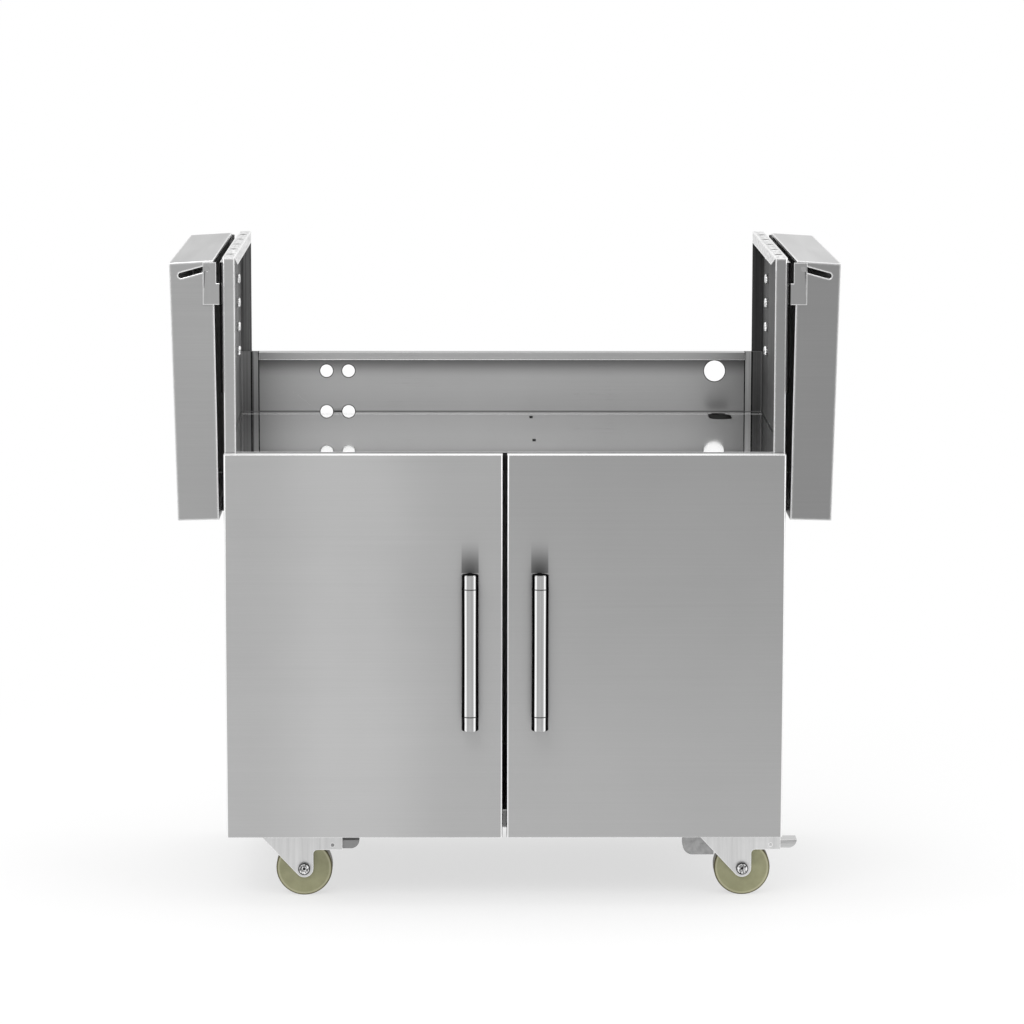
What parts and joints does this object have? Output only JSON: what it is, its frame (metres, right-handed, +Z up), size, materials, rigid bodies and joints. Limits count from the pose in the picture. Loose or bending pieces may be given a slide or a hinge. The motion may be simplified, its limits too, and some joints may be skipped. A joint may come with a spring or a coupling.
{
  "type": "grill cart with storage",
  "caption": "Stainless grill cart: two-door storage cabinet on swivel casters, tall side wings round an open grill bay, and a fold-down shelf outside each wing.",
  "frame": {"origin": "on the floor under the middle of the whole cart, handles and folded shelves included", "axes": "+X to the right across the doors, +Y to the back, +Z up; the doors face -Y"},
  "size_m": [0.9324, 0.5422, 0.916],
  "materials": {
    "brushed_panels": "fine horizontal brushing",
    "polished_deck": "near-mirror polish",
    "inner_sheet": "mill finish",
    "bracket_steel": "brushed",
    "polished_handles": "polished",
    "fastener_steel": "bright plated",
    "zinc_plate": "bright zinc plating over pressed steel",
    "nylon_wheels": "smooth moulded nylon, olive cream",
    "pedal_steel": "grey",
    "catch_plastic": "moulded",
    "bumper_rubber": "moulded"
  },
  "bodies": {
    "root": {"side_panel_left": "brushed_panels", "side_panel_right": "brushed_panels", "back_panel": "brushed_panels", "corner_angles": "brushed_panels", "deck": "polished_deck", "deck_stiffener": "inner_sheet", "deck_rivets": "fastener_steel", "cabinet_floor": "inner_sheet", "front_rail": "inner_sheet", "base_channel_left": "inner_sheet", "base_channel_right": "inner_sheet", "hinge_brackets": "bracket_steel", "hinge_pins": "fastener_steel", "hinge_screws": "fastener_steel", "magnetic_catches": "catch_plastic", "shelf_brackets_left": "bracket_steel", "shelf_brackets_right": "bracket_steel", "bracket_screws": "fastener_steel", "shelf_pins": "fastener_steel", "shelf_bumpers": "bumper_rubber", "caster_bolts": "fastener_steel", "kingpins": "fastener_steel", "caster_plate_front_left": "zinc_plate", "caster_plate_front_right": "zinc_plate", "caster_plate_rear_left": "zinc_plate", "caster_plate_rear_right": "zinc_plate"},
    "door_left": {"door_skin_left": "brushed_panels", "door_liner_left": "inner_sheet", "hinge_blocks_left": "bracket_steel", "strike_plate_left": "bracket_steel", "handle_bar_left": "polished_handles", "handle_ends_left": "polished_handles", "handle_screws_left": "fastener_steel"},
    "door_right": {"door_skin_right": "brushed_panels", "door_liner_right": "inner_sheet", "hinge_blocks_right": "bracket_steel", "strike_plate_right": "bracket_steel", "handle_bar_right": "polished_handles", "handle_ends_right": "polished_handles", "handle_screws_right": "fastener_steel"},
    "shelf_left": {"shelf_pan_left": "brushed_panels", "shelf_stiffener_left": "inner_sheet"},
    "shelf_right": {"shelf_pan_right": "brushed_panels", "shelf_stiffener_right": "inner_sheet"},
    "caster_front_left": {"fork_front_left": "zinc_plate", "axle_front_left": "fastener_steel"},
    "caster_front_right": {"fork_front_right": "zinc_plate", "axle_front_right": "fastener_steel", "fork_guard_right": "pedal_steel"},
    "caster_rear_left": {"fork_rear_left": "zinc_plate", "axle_rear_left": "fastener_steel"},
    "caster_rear_right": {"fork_rear_right": "zinc_plate", "axle_rear_right": "fastener_steel"},
    "wheel_front_left": {"wheel_front_left": "nylon_wheels"},
    "wheel_front_right": {"wheel_front_right": "nylon_wheels"},
    "wheel_rear_left": {"wheel_rear_left": "nylon_wheels"},
    "wheel_rear_right": {"wheel_rear_right": "nylon_wheels"},
    "pedal_left": {"brake_pedal_left": "pedal_steel"},
    "pedal_right": {"brake_pedal_right": "pedal_steel"}
  },
  "joints": [
    {"name": "door_left_hinge", "type": "hinge", "parent": "root", "child": "door_left", "pos_m": [-0.386, -0.21115, 0.37], "axis": [0, 0, -1], "range_deg": [0, 110]},
    {"name": "door_right_hinge", "type": "hinge", "parent": "root", "child": "door_right", "pos_m": [0.386, -0.21115, 0.37], "axis": [0, 0, 1], "range_deg": [0, 110]},
    {"name": "shelf_left_hinge", "type": "hinge", "parent": "root", "child": "shelf_left", "pos_m": [-0.4135, 0.03135, 0.902], "axis": [0, 1, 0], "range_deg": [0, 91.4]},
    {"name": "shelf_right_hinge", "type": "hinge", "parent": "root", "child": "shelf_right", "pos_m": [0.4135, 0.03135, 0.902], "axis": [0, -1, 0], "range_deg": [0, 91.4]},
    {"name": "swivel_front_left", "type": "hinge", "parent": "root", "child": "caster_front_left", "pos_m": [-0.3125, -0.14065, 0.096], "axis": [0, 0, 1], "continuous": true},
    {"name": "swivel_front_right", "type": "hinge", "parent": "root", "child": "caster_front_right", "pos_m": [0.3125, -0.14065, 0.096], "axis": [0, 0, 1], "continuous": true},
    {"name": "swivel_rear_left", "type": "hinge", "parent": "root", "child": "caster_rear_left", "pos_m": [-0.3125, 0.20335, 0.096], "axis": [0, 0, 1], "continuous": true},
    {"name": "swivel_rear_right", "type": "hinge", "parent": "root", "child": "caster_rear_right", "pos_m": [0.3125, 0.20335, 0.096], "axis": [0, 0, 1], "continuous": true},
    {"name": "spin_front_left", "type": "hinge", "parent": "caster_front_left", "child": "wheel_front_left", "pos_m": [-0.285, -0.14065, 0.04], "axis": [0, 1, 0], "continuous": true},
    {"name": "spin_front_right", "type": "hinge", "parent": "caster_front_right", "child": "wheel_front_right", "pos_m": [0.34, -0.14065, 0.04], "axis": [0, 1, 0], "continuous": true},
    {"name": "spin_rear_left", "type": "hinge", "parent": "caster_rear_left", "child": "wheel_rear_left", "pos_m": [-0.285, 0.20335, 0.04], "axis": [0, 1, 0], "continuous": true},
    {"name": "spin_rear_right", "type": "hinge", "parent": "caster_rear_right", "child": "wheel_rear_right", "pos_m": [0.34, 0.20335, 0.04], "axis": [0, 1, 0], "continuous": true},
    {"name": "brake_left_press", "type": "hinge", "parent": "caster_front_left", "child": "pedal_left", "pos_m": [-0.2445, -0.14065, 0.074], "axis": [0, 1, 0], "range_deg": [0, 12]},
    {"name": "brake_right_press", "type": "hinge", "parent": "caster_front_right", "child": "pedal_right", "pos_m": [0.3805, -0.14065, 0.074], "axis": [0, 1, 0], "range_deg": [0, 12]}
  ]
}
